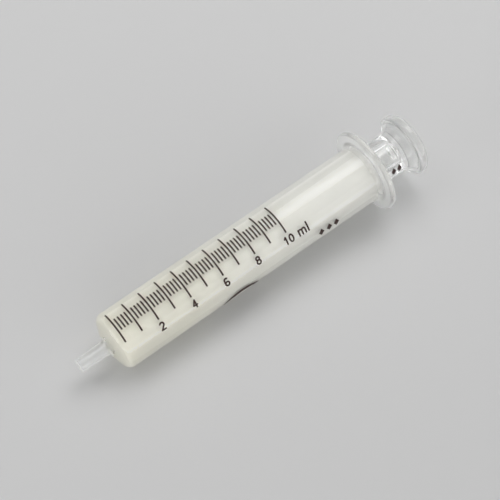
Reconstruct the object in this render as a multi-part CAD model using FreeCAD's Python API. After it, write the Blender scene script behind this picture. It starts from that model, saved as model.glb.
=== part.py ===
import FreeCAD, Part
import os

# Oral syringe of fused clear glass, 10 ml: a barrel with a slip nozzle and a finger flange,
# a hollow ground plunger with a thumb disc, and brown enamel print fired on the outside.
# Millimetres. The origin is the centre of the nozzle mouth, +X runs along the axis to the
# thumb disc and the scale is centred on +Z. Angles are counted from +Z towards -Y.

# Scale: 10 ml of a 15.2 mm bore is 55.11 mm long.
BORE_R = 7.6
BARREL_R = 8.8
SCALE_ML = 10
SCALE_LENGTH = 55.11
ZERO_X = 13.1

# Nozzle, with a slip taper of 6 percent on its diameter.
NOZZLE_LENGTH = 9.4
NOZZLE_TIP_R = 1.97
NOZZLE_TAPER_END = 8.3
NOZZLE_TAPER = 0.06
NOZZLE_BEAD_R = 3.3
NOZZLE_LIP = 0.25
NOZZLE_BORE_R = 0.6
NOZZLE_BORE_LIP = 0.12
NOZZLE_ROOT_R = NOZZLE_TIP_R + NOZZLE_TAPER / 2 * (NOZZLE_TAPER_END - NOZZLE_LIP)

# Closed end of the barrel: a shallow cone outside, a flat floor inside, and a funnel from the
# floor down into the nozzle's bore.
END_CORNER_X = 11.2
END_CORNER_LEG = 1.8
END_CONE = 1 / 3
FLOOR_X = 11.7
FLOOR_CORNER = 1.2
END_WALL_X = END_CORNER_X + END_CORNER_LEG
FUNNEL_START_X = 8.6
FUNNEL_R = 2.3

# Open end of the barrel and the finger flange.
FLANGE_R = 13.0
FLANGE_FRONT_X = 100.8
OPEN_END_X = 102.6
FLANGE_EDGE = 0.8
FLANGE_ROOT = 1.7
MOUTH_EDGE = 0.35

# Plunger.
PLUNGER_R = 7.56
PLUNGER_BORE_R = 6.26
PLUNGER_FRONT_X = 11.8
PLUNGER_EDGE = 1.3
PLUNGER_WALL_X = 13.7
SHOULDER_X = 101.0
SHOULDER_EDGE = 0.6
NECK_START_X = 102.2
NECK_R = 6.35
NECK_BORE_R = 2.9
NECK_BORE_X = 104.2
FLARE_X = 110.3
CAVITY_END_X = 113.0

# Thumb disc.
DISC_R = 9.8
DISC_FRONT_X = 114.85
DISC_END_X = 117.9
DISC_FRONT_EDGE = 1.1
DISC_BACK_EDGE = 1.4

# Enamel print.
ENAMEL = 0.03
LINE = 0.48
MAJOR_ARC = (-36.5, 33.0)
MINOR_ARC = (-15.6, 10.4)
MINORS_PER_ML = 4
STROKE = 0.5
DIGIT_HEIGHT = 2.75
DIGIT_WIDTH = 1.7
DIGIT_ANGLE = 47.5
UNIT_X = (72.65, 74.7)

ORIGIN = FreeCAD.Vector(0, 0, 0)
AXIS = FreeCAD.Vector(1, 0, 0)


def point(x, r):
    return FreeCAD.Vector(x, 0, r)


def flat_point(x, y):
    return FreeCAD.Vector(x, y, 0)


def line(a, b):
    return Part.makeLine(a, b)


def corner(a, knee, b):
    """A quarter ellipse from a to b that bends at knee, a true arc where its legs are square and equal."""
    first, last = a - knee, b - knee
    if abs(first.Length - last.Length) < 1e-6 and abs(first.dot(last)) < 1e-6:
        centre = a + b - knee
        middle = centre + (knee - centre) * 0.5 ** 0.5
        return Part.Arc(a, middle, b).toShape()
    curve = Part.BezierCurve()
    curve.setPoles([a, a + (knee - a) * 0.5523, b + (knee - b) * 0.5523, b])
    return curve.toShape()


def turned(edges):
    """The solid swept by a closed outline turned once round the axis."""
    face = Part.Face(Part.Wire(Part.__sortEdges__(edges)))
    solid = face.revolve(ORIGIN, AXIS, 360)
    return solid if solid.Volume > 0 else solid.reversed()


def polygon(points):
    return [line(a, b) for a, b in zip(points[:-1], points[1:])]


def funnel_radius(x):
    share = (x - FUNNEL_START_X) / (FLOOR_X - FUNNEL_START_X)
    return NOZZLE_BORE_R + (FUNNEL_R - NOZZLE_BORE_R) * share


def nozzle():
    """Tapered tip tube with a polished lip, flared at its root, where the funnel starts."""
    lip = [point(0, NOZZLE_BORE_R + NOZZLE_BORE_LIP), point(0, NOZZLE_TIP_R - NOZZLE_LIP)]
    shank = [point(NOZZLE_LIP, NOZZLE_TIP_R), point(NOZZLE_TAPER_END, NOZZLE_ROOT_R)]
    bead = point(NOZZLE_LENGTH, NOZZLE_BEAD_R)
    root = point(NOZZLE_LENGTH, funnel_radius(NOZZLE_LENGTH))
    throat = point(FUNNEL_START_X, NOZZLE_BORE_R)
    mouth = point(NOZZLE_BORE_LIP, NOZZLE_BORE_R)
    edges = [
        line(lip[0], lip[1]),
        corner(lip[1], point(0, NOZZLE_TIP_R), shank[0]),
        line(shank[0], shank[1]),
        corner(shank[1], point(NOZZLE_LENGTH, NOZZLE_ROOT_R), bead),
    ]
    return turned(edges + polygon([bead, root, throat, mouth, lip[0]]))


def barrel_end_wall():
    """Closed end of the barrel, drawn in to the nozzle."""
    bead = point(NOZZLE_LENGTH, NOZZLE_BEAD_R)
    knee = point(END_CORNER_X, BARREL_R)
    down_cone = FreeCAD.Vector(-END_CONE, 0, -1).normalize()
    shoulder = knee + down_cone * END_CORNER_LEG
    side = point(END_WALL_X, BARREL_R)
    inner = point(END_WALL_X, BORE_R)
    bore = point(FLOOR_X + FLOOR_CORNER, BORE_R)
    floor = point(FLOOR_X, BORE_R - FLOOR_CORNER)
    funnel = [point(FLOOR_X, FUNNEL_R), point(NOZZLE_LENGTH, funnel_radius(NOZZLE_LENGTH))]
    edges = [
        line(bead, shoulder),
        corner(shoulder, knee, side),
        corner(bore, point(FLOOR_X, BORE_R), floor),
    ]
    return turned(edges + polygon([side, inner, bore]) + polygon([floor] + funnel + [bead]))


def barrel_tube():
    """Precision bore tube from the closed end to the flange."""
    a = point(END_WALL_X, BORE_R)
    b = point(END_WALL_X, BARREL_R)
    c = point(FLANGE_FRONT_X - FLANGE_ROOT, BARREL_R)
    d = point(FLANGE_FRONT_X - FLANGE_ROOT, BORE_R)
    return turned(polygon([a, b, c, d, a]))


def finger_flange():
    """Round finger rest formed on the open end, with a fillet on the nozzle side."""
    a = point(FLANGE_FRONT_X - FLANGE_ROOT, BARREL_R)
    b = point(FLANGE_FRONT_X, BARREL_R + FLANGE_ROOT)
    c = point(FLANGE_FRONT_X, FLANGE_R - FLANGE_EDGE)
    d = point(FLANGE_FRONT_X + FLANGE_EDGE, FLANGE_R)
    e = point(OPEN_END_X - FLANGE_EDGE, FLANGE_R)
    f = point(OPEN_END_X, FLANGE_R - FLANGE_EDGE)
    g = point(OPEN_END_X, BORE_R + MOUTH_EDGE)
    h = point(OPEN_END_X - MOUTH_EDGE, BORE_R)
    i = point(FLANGE_FRONT_X - FLANGE_ROOT, BORE_R)
    edges = [
        corner(a, point(FLANGE_FRONT_X, BARREL_R), b),
        line(b, c),
        corner(c, point(FLANGE_FRONT_X, FLANGE_R), d),
        line(d, e),
        corner(e, point(OPEN_END_X, FLANGE_R), f),
        line(f, g),
        corner(g, point(OPEN_END_X, BORE_R), h),
        line(h, i),
        line(i, a),
    ]
    return turned(edges)


def plunger_end_disc():
    """Flat front wall of the hollow plunger."""
    a = point(PLUNGER_FRONT_X, 0)
    b = point(PLUNGER_FRONT_X, PLUNGER_R - PLUNGER_EDGE)
    c = point(PLUNGER_FRONT_X + PLUNGER_EDGE, PLUNGER_R)
    d = point(PLUNGER_WALL_X, PLUNGER_R)
    e = point(PLUNGER_WALL_X, 0)
    edges = polygon([c, d, e, a, b])
    return turned(edges + [corner(b, point(PLUNGER_FRONT_X, PLUNGER_R), c)])


def plunger_tube():
    """Ground piston wall that runs in the barrel."""
    a = point(PLUNGER_WALL_X, PLUNGER_BORE_R)
    b = point(PLUNGER_WALL_X, PLUNGER_R)
    c = point(SHOULDER_X, PLUNGER_R)
    d = point(SHOULDER_X, PLUNGER_BORE_R)
    return turned(polygon([a, b, c, d, a]))


def plunger_neck():
    """Shoulder drawn in to a thick walled neck."""
    a = point(SHOULDER_X, PLUNGER_BORE_R)
    b = point(SHOULDER_X, PLUNGER_R)
    c = point(SHOULDER_X + SHOULDER_EDGE, PLUNGER_R - SHOULDER_EDGE)
    d = point(NECK_START_X, NECK_R)
    e = point(FLARE_X, NECK_R)
    f = point(FLARE_X, NECK_BORE_R)
    g = point(NECK_BORE_X, NECK_BORE_R)
    edges = [
        line(a, b),
        corner(b, point(SHOULDER_X + SHOULDER_EDGE, PLUNGER_R), c),
        corner(c, point(SHOULDER_X + SHOULDER_EDGE, NECK_R), d),
        line(d, e),
        line(e, f),
        line(f, g),
        corner(g, point(NECK_BORE_X, PLUNGER_BORE_R), a),
    ]
    return turned(edges)


def thumb_disc():
    """Solid button that flares out of the neck, with the domed end of the cavity inside."""
    a = point(FLARE_X, NECK_BORE_R)
    b = point(FLARE_X, NECK_R)
    c = point(DISC_FRONT_X, DISC_R - DISC_FRONT_EDGE)
    d = point(DISC_FRONT_X + DISC_FRONT_EDGE, DISC_R)
    e = point(DISC_END_X - DISC_BACK_EDGE, DISC_R)
    f = point(DISC_END_X, DISC_R - DISC_BACK_EDGE)
    g = point(DISC_END_X, 0)
    h = point(CAVITY_END_X, 0)
    edges = [
        line(a, b),
        corner(b, point(DISC_FRONT_X, NECK_R), c),
        corner(c, point(DISC_FRONT_X, DISC_R), d),
        line(d, e),
        corner(e, point(DISC_END_X, DISC_R), f),
        line(f, g),
        line(g, h),
        corner(h, point(CAVITY_END_X, NECK_BORE_R), a),
    ]
    return turned(edges)


def arc_line(x, start, end):
    """One enamel line lying round the barrel between two angles."""
    low, high = BARREL_R, BARREL_R + ENAMEL
    corners = [(x - LINE / 2, low), (x + LINE / 2, low), (x + LINE / 2, high), (x - LINE / 2, high)]
    points = [point(px, r) for px, r in corners]
    face = Part.Face(Part.makePolygon(points + points[:1]))
    face.rotate(ORIGIN, AXIS, start)
    solid = face.revolve(ORIGIN, AXIS, end - start)
    return solid if solid.Volume > 0 else solid.reversed()


def millilitre_x(value):
    return ZERO_X + SCALE_LENGTH * value / SCALE_ML


def scale_major_lines():
    return [arc_line(millilitre_x(i), *MAJOR_ARC) for i in range(SCALE_ML + 1)]


def scale_minor_lines():
    steps = MINORS_PER_ML + 1
    marks = [i / steps for i in range(SCALE_ML * steps) if i % steps]
    return [arc_line(millilitre_x(value), *MINOR_ARC) for value in marks]


def slab(wire):
    """A printed outline thickened far enough to pass through the enamel layer."""
    return Part.Face(wire).extrude(FreeCAD.Vector(0, 0, 4))


def dot(x, y, r):
    return slab(Part.Wire(Part.makeCircle(r, flat_point(x, y))))


def stroke(a, b):
    """Straight pen stroke with round ends."""
    start, end = flat_point(*a), flat_point(*b)
    along = (end - start).normalize()
    side = FreeCAD.Vector(-along.y, along.x, 0) * (STROKE / 2)
    outline = Part.makePolygon([start + side, end + side, end - side, start - side, start + side])
    return [slab(outline), dot(*a, STROKE / 2), dot(*b, STROKE / 2)]


def loop(x, y, width, height):
    """Closed oval pen stroke."""
    outer = oval(x, y, width + STROKE, height + STROKE)
    return [outer.cut(oval(x, y, width - STROKE, height - STROKE))]


def oval(x, y, width, height):
    centre = flat_point(x, y)
    if height > width:
        ellipse = Part.Ellipse(flat_point(x, y + height / 2), flat_point(x + width / 2, y), centre)
    else:
        ellipse = Part.Ellipse(flat_point(x + width / 2, y), flat_point(x, y + height / 2), centre)
    return slab(Part.Wire(ellipse.toShape()))


def bend(x, y, r, start, end):
    """Round pen stroke between two angles in degrees."""
    sector = Part.makeCylinder(r + STROKE / 2, 4, flat_point(x, y), FreeCAD.Vector(0, 0, 1), end - start)
    sector = sector.cut(Part.makeCylinder(r - STROKE / 2, 4, flat_point(x, y)))
    sector.rotate(flat_point(x, y), FreeCAD.Vector(0, 0, 1), start)
    return [sector]


def digit_one(x):
    top = DIGIT_HEIGHT - STROKE
    return stroke((x, 0), (x, top)) + stroke((x, top), (x - 0.45, top - 0.45))


def digit_two(x):
    half = (DIGIT_WIDTH - STROKE) / 2
    top = DIGIT_HEIGHT - STROKE - half
    strokes = bend(x, top, half, -30, 170)
    strokes += stroke((x + 0.87 * half, top - 0.5 * half), (x - half, 0))
    return strokes + stroke((x - half, 0), (x + half, 0))


def digit_four(x):
    half = (DIGIT_WIDTH - STROKE) / 2
    top = DIGIT_HEIGHT - STROKE
    post = x + 0.4 * half
    bar = 0.27 * DIGIT_HEIGHT
    strokes = stroke((post, 0), (post, top)) + stroke((post, top), (x - half, bar))
    return strokes + stroke((x - half, bar), (x + half, bar))


def digit_six(x):
    half = (DIGIT_WIDTH - STROKE) / 2
    top = DIGIT_HEIGHT - STROKE
    strokes = loop(x, half, 2 * half, 2 * half)
    strokes += bend(x, top - half, half, 35, 180)
    return strokes + stroke((x - half, top - half), (x - half, half))


def digit_eight(x):
    low = 0.56 * (DIGIT_HEIGHT - STROKE)
    high = DIGIT_HEIGHT - STROKE - low
    width = DIGIT_WIDTH - STROKE
    return loop(x, low / 2, width, low) + loop(x, low + high / 2, 0.86 * width, high)


def digit_nought(x):
    tall = DIGIT_HEIGHT - STROKE
    return loop(x, tall / 2, DIGIT_WIDTH - STROKE, tall)


def letter_m(x):
    r = 0.55
    top = 1.75
    strokes = bend(x - r, top - r, r, 0, 180) + bend(x + r, top - r, r, 0, 180)
    for side in (-2 * r, 0, 2 * r):
        strokes += stroke((x + side, 0), (x + side, top - r))
    return strokes + stroke((x - 2 * r, top - r), (x - 2 * r, top))


def letter_l(x):
    return stroke((x, 0), (x, 2.8))


def diamond(x, width, height):
    """Plain lozenge centred on the print line."""
    mid = (DIGIT_HEIGHT - STROKE) / 2
    ends = [(x + width / 2, mid), (x, mid + height / 2), (x - width / 2, mid), (x, mid - height / 2)]
    points = [flat_point(*end) for end in ends]
    return [slab(Part.makePolygon(points + points[:1]))]


def oval_ring(x, width, height, band):
    mid = (DIGIT_HEIGHT - STROKE) / 2
    return [oval(x, mid, width, height).cut(oval(x, mid, width - 2 * band, height - 2 * band))]


def printed(strokes, x, angle, radius):
    """Lays flat strokes on a round wall as enamel, centred on the digit height at this angle."""
    shape = strokes[0]
    for other in strokes[1:]:
        shape = shape.fuse(other)
    shape.translate(FreeCAD.Vector(x, -(DIGIT_HEIGHT - STROKE) / 2, radius - 2))
    shape.rotate(ORIGIN, AXIS, angle)
    skin = Part.makeCylinder(radius + ENAMEL, 30, FreeCAD.Vector(x - 15, 0, 0), AXIS)
    skin = skin.cut(Part.makeCylinder(radius, 30, FreeCAD.Vector(x - 15, 0, 0), AXIS))
    return shape.common(skin).removeSplitter().Solids


def numeral(strokes, value):
    return printed(strokes, millilitre_x(value), DIGIT_ANGLE, BARREL_R)


def unit_mark():
    m_x, l_x = UNIT_X
    pieces = printed(letter_m(0), m_x, DIGIT_ANGLE, BARREL_R)
    return pieces + printed(letter_l(0), l_x, DIGIT_ANGLE, BARREL_R)


def barrel_pair_mark():
    """Three lozenges that match the barrel to its own plunger."""
    return [s for x in (78.3, 81.1, 83.7) for s in printed(diamond(0, 1.9, 3.0), x, 79.0, BARREL_R)]


def plunger_pair_mark():
    """Two lozenges on the neck of the matching plunger."""
    return [s for x in (107.2, 109.3) for s in printed(diamond(0, 1.7, 2.8), x, 71.8, NECK_R)]


def side_oval_mark():
    return printed(oval_ring(0, 12.4, 7.2, 1.5), 49.7, 110.0, BARREL_R)


NODES = {
    "nozzle": nozzle,
    "barrel_end_wall": barrel_end_wall,
    "barrel_tube": barrel_tube,
    "finger_flange": finger_flange,
    "plunger_end_disc": plunger_end_disc,
    "plunger_tube": plunger_tube,
    "plunger_neck": plunger_neck,
    "thumb_disc": thumb_disc,
    "scale_major_lines": scale_major_lines,
    "scale_minor_lines": scale_minor_lines,
    "numeral_2": lambda: numeral(digit_two(0), 2),
    "numeral_4": lambda: numeral(digit_four(0), 4),
    "numeral_6": lambda: numeral(digit_six(0), 6),
    "numeral_8": lambda: numeral(digit_eight(0), 8),
    "numeral_10": lambda: numeral(digit_one(-1.0), 10) + numeral(digit_nought(0.7), 10),
    "unit_mark": unit_mark,
    "barrel_pair_mark": barrel_pair_mark,
    "side_oval_mark": side_oval_mark,
    "plunger_pair_mark": plunger_pair_mark,
}


os.makedirs("parts", exist_ok=True)
for name, build in NODES.items():
    built = build()
    shape = Part.Compound(built) if isinstance(built, list) else built
    shape.exportStep(f"parts/{name}.step")
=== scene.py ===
import math

import bpy
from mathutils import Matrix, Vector

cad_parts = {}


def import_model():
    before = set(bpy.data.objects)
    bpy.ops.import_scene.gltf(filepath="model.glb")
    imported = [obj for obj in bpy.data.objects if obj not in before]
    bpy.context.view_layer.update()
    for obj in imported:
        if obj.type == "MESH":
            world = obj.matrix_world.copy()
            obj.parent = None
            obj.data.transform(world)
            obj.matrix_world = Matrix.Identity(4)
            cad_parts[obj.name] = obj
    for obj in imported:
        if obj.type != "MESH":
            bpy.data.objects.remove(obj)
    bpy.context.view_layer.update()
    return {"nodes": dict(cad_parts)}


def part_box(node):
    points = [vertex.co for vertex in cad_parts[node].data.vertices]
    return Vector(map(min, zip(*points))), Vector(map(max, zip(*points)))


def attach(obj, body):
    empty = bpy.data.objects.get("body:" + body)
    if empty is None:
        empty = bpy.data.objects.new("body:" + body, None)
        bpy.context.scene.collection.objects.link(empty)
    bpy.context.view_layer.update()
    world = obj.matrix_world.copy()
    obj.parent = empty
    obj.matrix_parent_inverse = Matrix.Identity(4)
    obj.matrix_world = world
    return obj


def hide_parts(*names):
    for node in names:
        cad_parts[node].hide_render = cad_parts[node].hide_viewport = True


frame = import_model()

MM = 0.001
SEGMENTS = 192    # faces round a lathed piece
AXIS_R = 1e-6                           # in mm; a ring smaller than this is one point on the axis


# ---------------------------------------------------------------- outlines
# An outline is a list of runs (material index, points), and a point is
# (x, r, nx, nr) in millimetres with its outward normal. Travel keeps the glass on the right.
# The last number of a stretch says how many steps it is cut into.

def straight(a, b, steps=1):
    """A straight stretch from a to b."""
    tx, tr = b[0] - a[0], b[1] - a[1]
    size = math.hypot(tx, tr)
    nx, nr = -tr / size, tx / size
    points = []
    for i in range(steps + 1):
        t = i / steps
        points.append((a[0] + tx * t, a[1] + tr * t, nx, nr))
    return points


def bent(a, knee, b, steps=12):
    """Quarter of an ellipse from a to b that bends at knee."""
    centre = (a[0] + b[0] - knee[0], a[1] + b[1] - knee[1])
    u = (a[0] - centre[0], a[1] - centre[1])
    v = (b[0] - centre[0], b[1] - centre[1])
    points = []
    for i in range(steps + 1):
        t = i / steps * math.pi / 2
        c, s = math.cos(t), math.sin(t)
        x = centre[0] + u[0] * c + v[0] * s
        r = centre[1] + u[1] * c + v[1] * s
        tx, tr = -u[0] * s + v[0] * c, -u[1] * s + v[1] * c
        size = math.hypot(tx, tr)
        points.append((x, r, -tr / size, tx / size))
    return points


def lathe(name, runs, materials):
    """A watertight piece turned round the X axis, with exact normals."""
    profile = []
    index = {}

    def vertex(x, r):
        key = (round(x, 6), round(r, 6))
        if key not in index:
            index[key] = len(profile)
            profile.append(key)
        return index[key]

    verts, first = [], []
    strips = []
    for material, points in runs:
        ids = [vertex(p[0], p[1]) for p in points]
        strips.append((material, points, ids))
    for x, r in profile:
        first.append(len(verts))
        count = SEGMENTS if r > AXIS_R else 1
        for j in range(count):
            a = 2 * math.pi * j / SEGMENTS
            verts.append((x * MM, r * math.cos(a) * MM, r * math.sin(a) * MM))
    faces, slots, normals = [], [], []

    def ring(k, j):
        return first[k] + (j % SEGMENTS if profile[k][1] > AXIS_R else 0)

    def turned(p, j):
        a = 2 * math.pi * j / SEGMENTS
        return (p[2], p[3] * math.cos(a), p[3] * math.sin(a))

    for material, points, ids in strips:
        for i in range(len(points) - 1):
            p, q, a, b = points[i], points[i + 1], ids[i], ids[i + 1]
            for j in range(SEGMENTS):
                loop = [(ring(a, j), p, j), (ring(a, j + 1), p, j + 1)]
                loop += [(ring(b, j + 1), q, j + 1), (ring(b, j), q, j)]
                seen, kept = set(), []
                for v, point, k in loop:
                    if v not in seen:
                        seen.add(v)
                        kept.append((v, turned(point, k)))
                faces.append([v for v, _ in kept])
                slots.append(material)
                normals += [n for _, n in kept]
    mesh = bpy.data.meshes.new(name)
    mesh.from_pydata(verts, [], faces)
    for material in materials:
        mesh.materials.append(material)
    mesh.polygons.foreach_set("material_index", slots)
    mesh.polygons.foreach_set("use_smooth", [True] * len(faces))
    mesh.update()
    mesh.normals_split_custom_set(normals)
    piece = bpy.data.objects.new(name, mesh)
    bpy.context.scene.collection.objects.link(piece)
    return piece


# ---------------------------------------------------------------- materials
# Noise scales are in features per metre, and bump depths in metres.

GLASS_IOR = 1.474               # borosilicate glass
ENAMEL_IOR = 1.35
MIDDLE_OF_NOISE = (0.3, 0.7)    # where nearly all values of a noise texture lie
EDGE_CURVE = 1.6                # higher keeps the haze, and the painted edge highlight it gives edge-on, closer to the glass's edges
GLASS_SHADOW = (0.95, 0.96, 0.95)
PALER = 1.012
CHANGE_FROM, CHANGE_TO = 0.03, 0.09    # X in metres: the ground glass changes between them
CLOUD_SHARE = 0.4
CLOSED_END_WHITE = 0.9


def new_material(name):
    material = bpy.data.materials.new(name)
    material.use_nodes = True
    tree = material.node_tree
    tree.nodes.clear()
    return material, tree


def node(tree, kind, **values):
    """A new node, whose inputs or settings take the given values."""
    made = tree.nodes.new(kind)
    for key, value in values.items():
        if key in made.inputs:
            made.inputs[key].default_value = value
        else:
            setattr(made, key, value)
    return made


def noise(tree, scale, detail=3.0, stretch=(1, 1, 1)):
    """Noise in object space."""
    coords = node(tree, "ShaderNodeTexCoord")
    mapping = node(tree, "ShaderNodeMapping")
    mapping.inputs["Scale"].default_value = stretch
    tree.links.new(coords.outputs["Object"], mapping.inputs["Vector"])
    texture = node(tree, "ShaderNodeTexNoise", Scale=scale, Detail=detail)
    tree.links.new(mapping.outputs["Vector"], texture.inputs["Vector"])
    return texture


def between(tree, source, low, high, start=0.0, end=1.0):
    """Maps start to end onto low to high."""
    made = node(tree, "ShaderNodeMapRange")
    made.inputs["From Min"].default_value = start
    made.inputs["From Max"].default_value = end
    made.inputs["To Min"].default_value = low
    made.inputs["To Max"].default_value = high
    tree.links.new(source, made.inputs["Value"])
    return made.outputs["Result"]


def spread(tree, source, low, high):
    """Maps a noise texture's middle range onto low to high."""
    return between(tree, source, low, high, *MIDDLE_OF_NOISE)


def tint(tree, factor, first, second):
    """A colour that goes from first to second with factor."""
    mix = node(tree, "ShaderNodeMix", data_type="RGBA")
    colour_in = [s for s in mix.inputs if s.type == "RGBA"]
    colour_in[0].default_value = (*first, 1)
    colour_in[1].default_value = (*second, 1)
    tree.links.new(factor, mix.inputs["Factor"])
    return [s for s in mix.outputs if s.type == "RGBA"][0]


def either(tree, factor, first, second):
    """Mixes two shaders. The factor is a number or a socket."""
    mix = node(tree, "ShaderNodeMixShader")
    if isinstance(factor, float):
        mix.inputs[0].default_value = factor
    else:
        tree.links.new(factor, mix.inputs[0])
    tree.links.new(first.outputs[0], mix.inputs[1])
    tree.links.new(second.outputs[0], mix.inputs[2])
    return mix


def output(tree, shader):
    out = node(tree, "ShaderNodeOutputMaterial")
    tree.links.new(shader.outputs[0], out.inputs["Surface"])


def bump(tree, height, distance, strength=1.0):
    made = node(tree, "ShaderNodeBump", Strength=strength, Distance=distance)
    tree.links.new(height, made.inputs["Height"])
    return made.outputs["Normal"]


def let_lamps_through(tree, surface, lamp_tint, share):
    """Sends the surface to the output, and lets a share of the lamps' light straight through it."""
    path = node(tree, "ShaderNodeLightPath")
    amount = node(tree, "ShaderNodeMath", operation="MULTIPLY")
    amount.inputs[1].default_value = share
    tree.links.new(path.outputs["Is Shadow Ray"], amount.inputs[0])
    through = node(tree, "ShaderNodeBsdfTransparent", Color=(*lamp_tint, 1))
    output(tree, either(tree, amount.outputs[0], surface, through))


def edge_on(tree, least, most):
    """A share that grows from least, seen square on, to most, seen edge-on; on clear glass its growth
    is painted edge highlight.
    """
    layer = node(tree, "ShaderNodeLayerWeight", Blend=0.5)
    curve = node(tree, "ShaderNodeMath", operation="POWER")
    curve.inputs[1].default_value = EDGE_CURVE
    tree.links.new(layer.outputs["Facing"], curve.inputs[0])
    share = node(tree, "ShaderNodeMath", operation="MULTIPLY_ADD", use_clamp=True)
    share.inputs[1].default_value = most - least
    share.inputs[2].default_value = least
    tree.links.new(curve.outputs[0], share.inputs[0])
    return share.outputs[0]


def clear_glass(name, tone, dull, haze, edge_haze_and_highlight, lamp_share):
    """Flame-worked clear glass with faint waves and smears, and a thin white haze that grows edge-on,
    where it is painted highlight on the edges.

    dull is the most roughness in a smear, haze is the haze's share seen square on and the next
    argument its share seen edge-on, which is painted edge highlight, and lamp_share is how much of the
    lamps' light goes straight through."""
    material, tree = new_material(name)
    shader = node(tree, "ShaderNodeBsdfPrincipled", IOR=GLASS_IOR)
    shader.inputs["Transmission Weight"].default_value = 1.0
    smears = noise(tree, 260, 4)
    tree.links.new(spread(tree, smears.outputs["Fac"], 0.0, dull), shader.inputs["Roughness"])
    pale = tuple(min(1.0, c * PALER) for c in tone)
    tree.links.new(tint(tree, smears.outputs["Fac"], tone, pale), shader.inputs["Base Color"])
    waves = noise(tree, 170, 2, (0.35, 1, 1))
    tree.links.new(bump(tree, waves.outputs["Fac"], 0.00003), shader.inputs["Normal"])
    # Diffuse and translucent haze, mixed in more edge-on as a painted highlight on the glass's edges.
    near = node(tree, "ShaderNodeBsdfDiffuse", Color=(*tone, 1))
    far = node(tree, "ShaderNodeBsdfTranslucent", Color=(*tone, 1))
    haze_and_edge_highlight = either(tree, 0.5, near, far)
    surface = either(tree, edge_on(tree, haze, edge_haze_and_highlight), shader, haze_and_edge_highlight)
    let_lamps_through(tree, surface, GLASS_SHADOW, lamp_share)
    return material


def fused_joint():
    """Where two sections of one glass meet: nothing to see, so light goes straight on."""
    material, tree = new_material("fused_joint")
    output(tree, node(tree, "ShaderNodeBsdfTransparent", Color=(1, 1, 1, 1)))
    return material


def along(tree, cloud):
    """Grows from 0 at the closed end to 1 towards the flange, with a cloudy edge."""
    coords = node(tree, "ShaderNodeTexCoord")
    split = node(tree, "ShaderNodeSeparateXYZ")
    tree.links.new(coords.outputs["Object"], split.inputs["Vector"])
    place = between(tree, split.outputs["X"], 0.0, 1.0, CHANGE_FROM, CHANGE_TO)
    blurred = node(tree, "ShaderNodeMath", operation="MULTIPLY_ADD", use_clamp=True)
    blurred.inputs[1].default_value = CLOUD_SHARE
    tree.links.new(cloud, blurred.inputs[0])
    tree.links.new(place, blurred.inputs[2])
    shifted = node(tree, "ShaderNodeMath", operation="SUBTRACT", use_clamp=True)
    shifted.inputs[1].default_value = CLOUD_SHARE / 2
    tree.links.new(blurred.outputs[0], shifted.inputs[0])
    return shifted.outputs[0]


def ground_glass(name, front_tone, tone, white, through, rough, lamp_share):
    """Ground glass: milky, with fine grain and grinding rings.

    It has front_tone and is whitest at the closed end, and has tone and the share white of milk
    towards the flange. through is how much of the milk's light comes from behind."""
    material, tree = new_material(name)
    fine = noise(tree, 4200, 3)
    rings = noise(tree, 900, 4, (1, 0.03, 0.03))
    cloud = noise(tree, 60, 3)
    place = along(tree, cloud.outputs["Fac"])
    colour = tint(tree, place, front_tone, tone)
    texture = node(tree, "ShaderNodeMath", operation="MULTIPLY_ADD")
    texture.inputs[1].default_value = 0.25
    tree.links.new(rings.outputs["Fac"], texture.inputs[0])
    tree.links.new(fine.outputs["Fac"], texture.inputs[2])
    normal = bump(tree, texture.outputs[0], 0.00001, 0.5)
    diffuse = node(tree, "ShaderNodeBsdfDiffuse", Roughness=0.6)
    behind = node(tree, "ShaderNodeBsdfTranslucent")
    glass = node(tree, "ShaderNodeBsdfPrincipled", IOR=GLASS_IOR)
    glass.inputs["Transmission Weight"].default_value = 1.0
    roughness = spread(tree, rings.outputs["Fac"], rough * 0.9, rough * 1.1)
    tree.links.new(roughness, glass.inputs["Roughness"])
    for shader in (diffuse, behind):
        tree.links.new(colour, shader.inputs["Color"])
    tree.links.new(colour, glass.inputs["Base Color"])
    for shader in (diffuse, glass):
        tree.links.new(normal, shader.inputs["Normal"])
    milk = either(tree, through, diffuse, behind)
    surface = either(tree, between(tree, place, CLOSED_END_WHITE, white), glass, milk)
    let_lamps_through(tree, surface, tone, lamp_share)
    return material


def enamel(name, tone):
    """Fired brown print: slightly glossy, thin in places."""
    material, tree = new_material(name)
    shader = node(tree, "ShaderNodeBsdfPrincipled", IOR=ENAMEL_IOR)
    patches = noise(tree, 1500, 4)
    thin = tuple(c * 1.8 + 0.003 for c in tone)
    colour = tint(tree, spread(tree, patches.outputs["Fac"], 0, 1), tone, thin)
    tree.links.new(colour, shader.inputs["Base Color"])
    tree.links.new(spread(tree, patches.outputs["Fac"], 0.28, 0.5), shader.inputs["Roughness"])
    grain = noise(tree, 6000, 2)
    tree.links.new(bump(tree, grain.outputs["Fac"], 0.00002, 0.7), shader.inputs["Normal"])
    output(tree, shader)
    return material


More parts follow.
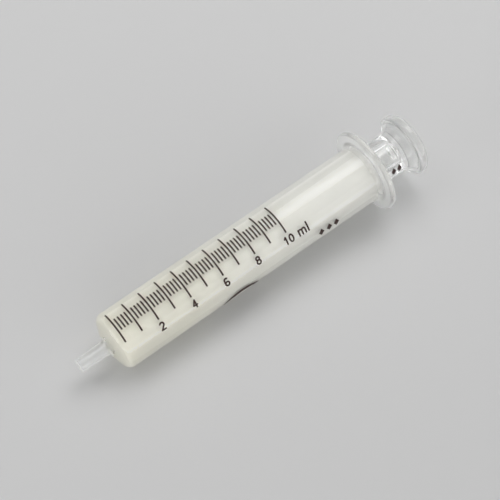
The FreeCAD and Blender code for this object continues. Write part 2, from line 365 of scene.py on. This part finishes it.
# The share seen edge-on in the nozzle, flange and thumb glass is painted highlight on their edges.
CLEAR = clear_glass(
    "clear_glass", (0.98, 0.987, 0.98), dull=0.03, haze=0.0, edge_haze_and_highlight=0.0, lamp_share=1.0)
NOZZLE = clear_glass(
    "nozzle_glass", (0.99, 0.995, 0.99), dull=0.02, haze=0.26, edge_haze_and_highlight=1.0, lamp_share=0.5)
FLANGE = clear_glass(
    "flange_glass", (0.985, 0.987, 0.98), dull=0.02, haze=0.1, edge_haze_and_highlight=0.6, lamp_share=0.6)
THUMB = clear_glass(
    "thumb_glass", (0.985, 0.99, 0.982), dull=0.02, haze=0.02, edge_haze_and_highlight=0.5, lamp_share=0.6)
JOINT = fused_joint()
GROUND = ground_glass(
    "ground_plunger_glass", (0.935, 0.925, 0.87), (0.978, 0.975, 0.96),
    white=0.85, through=0.5, rough=0.5, lamp_share=0.3)
BORE = ground_glass(
    "ground_bore_glass", (0.96, 0.945, 0.885), (0.975, 0.97, 0.955),
    white=0.75, through=0.5, rough=0.42, lamp_share=0.7)
PRINT = enamel("brown_enamel", (0.022, 0.007, 0.005))


# ---------------------------------------------------------------- sizes from the frame, in millimetres

def span(name):
    low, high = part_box(name)
    return low[0] / MM, high[0] / MM


def radius(name):
    low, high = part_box(name)
    return (high[2] - low[2]) / 2 / MM


TIP_X, FACE_X = span("nozzle")
WALL_X = span("barrel_end_wall")[1]
TUBE_END_X, MOUTH_X = span("finger_flange")
BARREL_R = radius("barrel_tube")
FLANGE_R = radius("finger_flange")
FRONT_X, FRONT_WALL_X = span("plunger_end_disc")
SHOULDER_X, FLARE_X = span("plunger_neck")
DISC_X = span("thumb_disc")[1]
PLUNGER_R = radius("plunger_tube")
DISC_R = radius("thumb_disc")

BORE_R = 7.6
NOZZLE_TIP_R = 1.97
NOZZLE_TAPER = 0.06
NOZZLE_BEAD_R = 3.3
NOZZLE_BEAD = 1.1
NOZZLE_LIP = 0.25
NOZZLE_BORE_R = 0.6
NOZZLE_BORE_LIP = 0.12
END_CORNER_LEG = 1.8
END_CONE = 1 / 3
FLOOR_GAP = 0.1
FLOOR_CORNER = 1.2
FUNNEL_R = 2.3
FUNNEL_LENGTH = 3.1
FLANGE_ROOT = 1.7
FLANGE_EDGE = 0.8
MOUTH_EDGE = 0.35
PLUNGER_BORE_R = 6.26
PLUNGER_EDGE = 1.3
SHOULDER_EDGE = 0.6
NECK_TURN = 1.2
NECK_R = 6.35
NECK_BORE_R = 2.9
NECK_DOME = 3.2
FLARE_LENGTH = 4.55
DISC_FRONT_EDGE = 1.1
DISC_BACK_EDGE = 1.4
CAVITY_DOME = 2.7
TURN_ROOM = 0.01    # between the plunger's front wall and the tube that turns on it

CHAMBER_X = FRONT_X - FLOOR_GAP

# Material indices of a lathed piece. The nozzle has no milky surface, and its bore takes that place.
GLASS, FUSED, MILKY = 0, 1, 2
INNER = MILKY


def funnel_radius(x):
    """Inner radius of the cone that leads from the chamber's floor down to the nozzle's bore."""
    share = 1 - (CHAMBER_X - x) / FUNNEL_LENGTH
    return NOZZLE_BORE_R + (FUNNEL_R - NOZZLE_BORE_R) * share


def nozzle():
    """Slip taper with a rounded mouth, the bore, and the wide part of the bore at the root."""
    root_x = FACE_X - NOZZLE_BEAD
    root_r = NOZZLE_TIP_R + NOZZLE_TAPER / 2 * (root_x - TIP_X - NOZZLE_LIP)
    lip = (TIP_X, NOZZLE_TIP_R - NOZZLE_LIP)
    shank = (TIP_X + NOZZLE_LIP, NOZZLE_TIP_R)
    bead = (FACE_X, NOZZLE_BEAD_R)
    root = (FACE_X, funnel_radius(FACE_X))
    throat = (CHAMBER_X - FUNNEL_LENGTH, NOZZLE_BORE_R)
    mouth = (TIP_X + NOZZLE_BORE_LIP, NOZZLE_BORE_R)
    tip = (TIP_X, NOZZLE_BORE_R + NOZZLE_BORE_LIP)
    runs = [
        (GLASS, straight(tip, lip, 3)),
        (GLASS, bent(lip, (TIP_X, NOZZLE_TIP_R), shank, 6)),
        (GLASS, straight(shank, (root_x, root_r), 12)),
        (GLASS, bent((root_x, root_r), (FACE_X, root_r), bead)),
        (FUSED, straight(bead, root, 2)),
        (INNER, straight(root, throat, 2)),
        (INNER, straight(throat, mouth, 12)),
        (INNER, bent(mouth, (TIP_X, NOZZLE_BORE_R), tip, 4)),
    ]
    return lathe("nozzle_glass", runs, [NOZZLE, JOINT, CLEAR])


def barrel_end():
    """Closed end: a slightly conical outside, the chamber's flat floor, and the funnel."""
    knee = (WALL_X - END_CORNER_LEG, BARREL_R)
    slant = math.hypot(END_CONE, 1)
    shoulder = (knee[0] - END_CORNER_LEG * END_CONE / slant, knee[1] - END_CORNER_LEG / slant)
    root = (FACE_X, funnel_radius(FACE_X))
    bead = (FACE_X, NOZZLE_BEAD_R)
    side = (WALL_X, BARREL_R)
    bore = (CHAMBER_X + FLOOR_CORNER, BORE_R)
    floor_edge = (CHAMBER_X, BORE_R - FLOOR_CORNER)
    funnel = (CHAMBER_X, FUNNEL_R)
    runs = [
        (FUSED, straight(root, bead, 2)),
        (GLASS, straight(bead, shoulder, 6)),
        (GLASS, bent(shoulder, knee, side, 16)),
        (FUSED, straight(side, (WALL_X, BORE_R), 2)),
        (MILKY, straight((WALL_X, BORE_R), bore)),
        (MILKY, bent(bore, (CHAMBER_X, BORE_R), floor_edge)),
        (MILKY, straight(floor_edge, funnel, 6)),
        (GLASS, straight(funnel, root, 4)),
    ]
    return lathe("barrel_end_glass", runs, [CLEAR, JOINT, BORE])


def barrel_tube():
    runs = [
        (FUSED, straight((WALL_X, BORE_R), (WALL_X, BARREL_R), 2)),
        (GLASS, straight((WALL_X, BARREL_R), (TUBE_END_X, BARREL_R), 60)),
        (FUSED, straight((TUBE_END_X, BARREL_R), (TUBE_END_X, BORE_R), 2)),
        (MILKY, straight((TUBE_END_X, BORE_R), (WALL_X, BORE_R), 60)),
    ]
    return lathe("barrel_tube_glass", runs, [CLEAR, JOINT, BORE])


def finger_flange():
    """Round flange with a filleted root, rounded edges and the mouth of the bore."""
    front_x = TUBE_END_X + FLANGE_ROOT
    edge = FLANGE_R - FLANGE_EDGE
    root = (front_x, BARREL_R + FLANGE_ROOT)
    front_rim = (front_x + FLANGE_EDGE, FLANGE_R)
    back_rim = (MOUTH_X - FLANGE_EDGE, FLANGE_R)
    mouth = (MOUTH_X, BORE_R + MOUTH_EDGE)
    bore = (MOUTH_X - MOUTH_EDGE, BORE_R)
    runs = [
        (GLASS, bent((TUBE_END_X, BARREL_R), (front_x, BARREL_R), root, 16)),
        (GLASS, straight(root, (front_x, edge), 3)),
        (GLASS, bent((front_x, edge), (front_x, FLANGE_R), front_rim)),
        (GLASS, straight(front_rim, back_rim)),
        (GLASS, bent(back_rim, (MOUTH_X, FLANGE_R), (MOUTH_X, edge))),
        (GLASS, straight((MOUTH_X, edge), mouth, 4)),
        (GLASS, bent(mouth, (MOUTH_X, BORE_R), bore, 6)),
        (MILKY, straight(bore, (TUBE_END_X, BORE_R), 3)),
        (FUSED, straight((TUBE_END_X, BORE_R), (TUBE_END_X, BARREL_R), 2)),
    ]
    return lathe("finger_flange_glass", runs, [FLANGE, JOINT, BORE])


def plunger_end():
    """Round front wall with a rounded edge."""
    edge_r = PLUNGER_R - PLUNGER_EDGE
    edge_x = FRONT_X + PLUNGER_EDGE
    runs = [
        (MILKY, straight((FRONT_X, 0), (FRONT_X, edge_r), 8)),
        (MILKY, bent((FRONT_X, edge_r), (FRONT_X, PLUNGER_R), (edge_x, PLUNGER_R), 8)),
        (MILKY, straight((edge_x, PLUNGER_R), (FRONT_WALL_X, PLUNGER_R), 2)),
        (FUSED, straight((FRONT_WALL_X, PLUNGER_R), (FRONT_WALL_X, PLUNGER_BORE_R), 2)),
        (GLASS, straight((FRONT_WALL_X, PLUNGER_BORE_R), (FRONT_WALL_X, 0), 6)),
    ]
    return lathe("plunger_end_glass", runs, [CLEAR, JOINT, GROUND])


def plunger_tube():
    """Starts a hair behind the end disc, which doesn't turn with it."""
    start_x = FRONT_WALL_X + TURN_ROOM
    runs = [
        (FUSED, straight((start_x, PLUNGER_BORE_R), (start_x, PLUNGER_R), 2)),
        (MILKY, straight((start_x, PLUNGER_R), (SHOULDER_X, PLUNGER_R), 60)),
        (FUSED, straight((SHOULDER_X, PLUNGER_R), (SHOULDER_X, PLUNGER_BORE_R), 2)),
        (GLASS, straight((SHOULDER_X, PLUNGER_BORE_R), (start_x, PLUNGER_BORE_R), 60)),
    ]
    return lathe("plunger_tube_glass", runs, [CLEAR, JOINT, GROUND])


def plunger_neck():
    """Shoulder and thick-walled neck, with the front of the neck's narrow hollow."""
    turn_x = SHOULDER_X + SHOULDER_EDGE
    neck_x = SHOULDER_X + NECK_TURN
    dome_x = SHOULDER_X + NECK_DOME
    low = PLUNGER_R - SHOULDER_EDGE
    hollow = (SHOULDER_X, PLUNGER_BORE_R)
    runs = [
        (FUSED, straight(hollow, (SHOULDER_X, PLUNGER_R), 2)),
        (GLASS, bent((SHOULDER_X, PLUNGER_R), (turn_x, PLUNGER_R), (turn_x, low), 8)),
        (GLASS, bent((turn_x, low), (turn_x, NECK_R), (neck_x, NECK_R), 8)),
        (GLASS, straight((neck_x, NECK_R), (FLARE_X, NECK_R), 8)),
        (FUSED, straight((FLARE_X, NECK_R), (FLARE_X, NECK_BORE_R), 2)),
        (GLASS, straight((FLARE_X, NECK_BORE_R), (dome_x, NECK_BORE_R), 6)),
        (GLASS, bent((dome_x, NECK_BORE_R), (dome_x, PLUNGER_BORE_R), hollow, 16)),
    ]
    return lathe("plunger_neck_glass", runs, [THUMB, JOINT])


def thumb_disc():
    """Flared disc with rounded rims, and the domed end of the sealed hollow."""
    front_x = FLARE_X + FLARE_LENGTH
    front_r = DISC_R - DISC_FRONT_EDGE
    rim = (front_x + DISC_FRONT_EDGE, DISC_R)
    back = (DISC_X - DISC_BACK_EDGE, DISC_R)
    dome_x = FLARE_X + CAVITY_DOME
    runs = [
        (FUSED, straight((FLARE_X, NECK_BORE_R), (FLARE_X, NECK_R), 2)),
        (GLASS, bent((FLARE_X, NECK_R), (front_x, NECK_R), (front_x, front_r), 28)),
        (GLASS, bent((front_x, front_r), (front_x, DISC_R), rim, 12)),
        (GLASS, straight(rim, back, 1)),
        (GLASS, bent(back, (DISC_X, DISC_R), (DISC_X, DISC_R - DISC_BACK_EDGE), 14)),
        (GLASS, straight((DISC_X, DISC_R - DISC_BACK_EDGE), (DISC_X, 0), 8)),
        (GLASS, bent((dome_x, 0), (dome_x, NECK_BORE_R), (FLARE_X, NECK_BORE_R), 16)),
    ]
    return lathe("thumb_disc_glass", runs, [THUMB, JOINT])


# How each piece is made, the CAD node it stands for, its body and the name of its finish.
PIECES = [
    (nozzle, "nozzle", "barrel", "clear_glass"),
    (barrel_end, "barrel_end_wall", "barrel", "clear_glass"),
    (barrel_tube, "barrel_tube", "barrel", "clear_glass"),
    (finger_flange, "finger_flange", "barrel", "clear_glass"),
    (plunger_end, "plunger_end_disc", "plunger_carrier", "ground_glass"),
    (plunger_tube, "plunger_tube", "plunger", "ground_glass"),
    (plunger_neck, "plunger_neck", "plunger", "clear_glass"),
    (thumb_disc, "thumb_disc", "plunger", "clear_glass"),
]
for build, stands_for, body, finish in PIECES:
    piece = build()
    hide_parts(stands_for)
    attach(piece, body)

# Every CAD node that still shows is printed enamel.
for made in frame["nodes"].values():
    if not made.hide_render:
        for slot in made.material_slots:
            slot.material = PRINT


# ---------------------------------------------------------------- floor, light and camera
# Everything here is in metres. SCENE_X is the middle of what the lights shine on.

REST_SLOPE = math.atan2(FLANGE_R - BARREL_R, MOUTH_X - WALL_X)
FLOOR_SIZE = 5.0
FLOOR_STEPS = 50
FLOOR_GREY = 0.66
FLOOR_CLEARANCE = 0.00005
SCENE_X = 0.05
# Name, place, target, width, height and watts.
LIGHTS = [
    ("overhead", (SCENE_X + 0.05, 0.2, 0.55), (SCENE_X, 0, 0), 0.75, 0.29, 1.25),
    ("high_end", (SCENE_X + 0.35, 0.2, 0.5), (SCENE_X + 0.05, 0, 0), 0.6, 0.38, 1.22),
    ("front_card", (SCENE_X - 0.1, -0.7, 0.26), (SCENE_X, 0, 0), 1.5, 0.6, 1.75),
    ("end_card", (SCENE_X - 0.55, 0.05, 0.15), (SCENE_X - 0.05, 0, 0), 0.4, 0.25, 0.68),
]
CAMERA_TURN = 37.13             # degrees round from a side view
CAMERA_RISE = 64.246            # degrees above the level
CAMERA_DISTANCE = 0.423275
CAMERA_TARGET = (0.058975, -0.000165, 0)
FOCAL_WIDTHS = 1481.2 / 500     # focal length, in widths of the picture
SENSOR_WIDTH = 36
LIGHT_BOUNCES = 64              # enough for the many glass surfaces one behind the other
DIFFUSE_BOUNCES = 8


def floor():
    """A pale sheet that touches the flange rim and the closed end's corner."""
    row = FLOOR_STEPS + 1
    places = [(i / FLOOR_STEPS - 0.5) * FLOOR_SIZE for i in range(row)]
    verts = [(x, y, 0) for x in places for y in places]
    faces = []
    for i in range(FLOOR_STEPS):
        for j in range(FLOOR_STEPS):
            a = i * row + j
            faces.append((a, a + row, a + row + 1, a + 1))
    mesh = bpy.data.meshes.new("floor")
    mesh.from_pydata(verts, [], faces)
    sheet = bpy.data.objects.new("floor", mesh)
    bpy.context.scene.collection.objects.link(sheet)
    depth = FLANGE_R / math.cos(REST_SLOPE)
    sheet.location = (MOUTH_X * MM, 0, -depth * MM - FLOOR_CLEARANCE)
    sheet.rotation_euler = (0, REST_SLOPE, 0)
    material, tree = new_material("floor")
    shader = node(tree, "ShaderNodeBsdfPrincipled", Roughness=0.75)
    shader.inputs["Base Color"].default_value = (FLOOR_GREY, FLOOR_GREY, FLOOR_GREY, 1)
    paper = noise(tree, 1400, 4)
    tree.links.new(bump(tree, paper.outputs["Fac"], 0.00003, 0.4), shader.inputs["Normal"])
    output(tree, shader)
    mesh.materials.append(material)


def aim(thing, place, direction):
    """Puts a light or a camera at a place, looking in a direction."""
    thing.location = place
    thing.rotation_mode = "QUATERNION"
    thing.rotation_quaternion = direction.to_track_quat("-Z", "Y")


def softbox(name, place, target, width, height, watts):
    lamp = bpy.data.lights.new(name, "AREA")
    lamp.shape = "RECTANGLE"
    lamp.size = width
    lamp.size_y = height
    lamp.energy = watts
    made = bpy.data.objects.new(name, lamp)
    bpy.context.scene.collection.objects.link(made)
    aim(made, place, Vector(target) - Vector(place))


def world(overhead, horizon, level_end, front):
    """A soft sky with one strength overhead and one at the horizon, times front towards -Y.

    level_end is the height of a direction (its Z) from which the sky is as it is overhead."""
    made = bpy.data.worlds.new("world")
    made.use_nodes = True
    tree = made.node_tree
    coords = node(tree, "ShaderNodeTexCoord")
    split = node(tree, "ShaderNodeSeparateXYZ")
    tree.links.new(coords.outputs["Generated"], split.inputs["Vector"])
    height = node(tree, "ShaderNodeMapRange", interpolation_type="SMOOTHSTEP")
    height.inputs["From Max"].default_value = level_end
    height.inputs["To Min"].default_value = horizon
    height.inputs["To Max"].default_value = overhead
    tree.links.new(split.outputs["Z"], height.inputs["Value"])
    facing = between(tree, split.outputs["Y"], 1.0, front, 0.0, -1.0)
    strength = node(tree, "ShaderNodeMath", operation="MULTIPLY")
    tree.links.new(height.outputs["Result"], strength.inputs[0])
    tree.links.new(facing, strength.inputs[1])
    tree.links.new(strength.outputs[0], tree.nodes["Background"].inputs["Strength"])
    tree.nodes["Background"].inputs["Color"].default_value = (1, 1, 1, 1)
    bpy.context.scene.world = made


def camera():
    view = bpy.data.cameras.new("camera")
    view.sensor_width = SENSOR_WIDTH
    view.lens = SENSOR_WIDTH * FOCAL_WIDTHS
    made = bpy.data.objects.new("camera", view)
    bpy.context.scene.collection.objects.link(made)
    a, e = math.radians(CAMERA_TURN), math.radians(CAMERA_RISE)
    back = Vector((-math.sin(a) * math.cos(e), -math.cos(a) * math.cos(e), math.sin(e)))
    aim(made, Vector(CAMERA_TARGET) + back * CAMERA_DISTANCE, -back)
    view.clip_start = 0.01
    view.clip_end = 10
    bpy.context.scene.camera = made


floor()
world(overhead=0.18, horizon=1.34, level_end=0.35, front=2.4)
for light in LIGHTS:
    softbox(*light)
camera()

scene = bpy.context.scene
scene.view_settings.view_transform = "Standard"
scene.view_settings.look = "None"
scene.cycles.max_bounces = LIGHT_BOUNCES
scene.cycles.transmission_bounces = LIGHT_BOUNCES
scene.cycles.glossy_bounces = LIGHT_BOUNCES
scene.cycles.transparent_max_bounces = LIGHT_BOUNCES
scene.cycles.diffuse_bounces = DIFFUSE_BOUNCES
scene.cycles.caustics_refractive = True
scene.cycles.caustics_reflective = False
